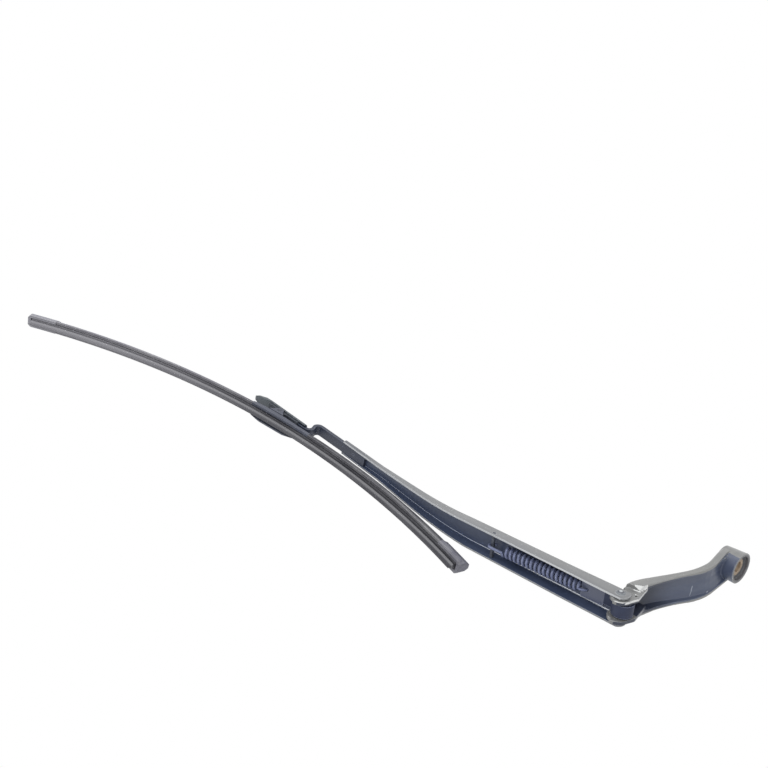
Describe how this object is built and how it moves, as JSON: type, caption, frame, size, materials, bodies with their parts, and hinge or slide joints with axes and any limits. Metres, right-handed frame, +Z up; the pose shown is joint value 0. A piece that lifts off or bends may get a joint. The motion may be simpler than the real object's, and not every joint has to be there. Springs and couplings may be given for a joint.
{
  "type": "windscreen wiper arm with beam blade",
  "caption": "Sprung wiper arm folded up on its cast mounting head, with a gooseneck tongue and a curved beam blade clipped to the tongue by an adapter.",
  "frame": {"origin": "centre of the spindle bore at its lower mouth, where the spindle enters", "axes": "+Z up along the spindle bore, away from the glass; +X from the spindle toward the hinge; +Y along the hinge rivet"},
  "size_m": [0.2958, 0.0933, 0.6089],
  "materials": {
    "cast_head": "satin dark slate paint on a casting",
    "brass_bush": "bare, slightly dull",
    "elastic_pad": "matt",
    "nylon_bush": "smooth",
    "bare_steel": "bare, slightly dull",
    "painted_steel": "satin dark slate paint",
    "zinc_rivet": "dull zinc",
    "spring_steel": "dark coated wire",
    "adapter_plastic": "fine satin",
    "button_plastic": "fine satin",
    "wiping_rubber": "matt",
    "spoiler_rubber": "matt",
    "cap_plastic": "satin",
    "bracket_plastic": "satin"
  },
  "bodies": {
    "head": {"mounting_head": "cast_head", "spindle_bush": "brass_bush", "stop_pad": "elastic_pad", "hinge_bush": "nylon_bush", "link_pin": "bare_steel"},
    "arm": {"arm_channel": "painted_steel", "arm_tongue": "painted_steel", "tongue_rivet": "painted_steel", "hinge_rivet": "zinc_rivet", "anchor_pin": "zinc_rivet", "adapter": "adapter_plastic", "adapter_cover": "adapter_plastic"},
    "spring_link": {"tension_spring": "spring_steel", "tension_link": "painted_steel"},
    "button": {"release_button": "button_plastic"},
    "blade": {"wiper_rubber": "wiping_rubber", "blade_rail": "bare_steel", "spoiler_outer": "spoiler_rubber", "spoiler_inner": "spoiler_rubber", "end_cap_outer": "cap_plastic", "end_cap_inner": "cap_plastic", "bracket": "bracket_plastic", "pivot_pin": "bare_steel"}
  },
  "joints": [
    {"name": "arm_fold", "type": "hinge", "parent": "head", "child": "arm", "pos_m": [0.116, -0.0045, 0.0265], "axis": [0, 1, 0], "range_deg": [0, 95]},
    {"name": "spring_swing", "type": "hinge", "parent": "arm", "child": "spring_link", "pos_m": [0.12667, -0.0045, 0.13699], "axis": [0, 1, 0], "range_deg": [-4.88, 0.1]},
    {"name": "button_press", "type": "slide", "parent": "arm", "child": "button", "axis": [0.9962, 0, -0.0872], "range_m": [0, 0.0012], "stiffness_N_per_m": 2500, "springref_m": -0.0004},
    {"name": "blade_pivot", "type": "hinge", "parent": "arm", "child": "blade", "pos_m": [0.1606, 0.02584, 0.36648], "axis": [-0.0147, 0.9857, -0.1678], "range_deg": [-9, 3]}
  ],
  "couplings": [
    {"joint": "spring_swing", "follows": "arm_fold", "ratio": -0.05035}
  ]
}
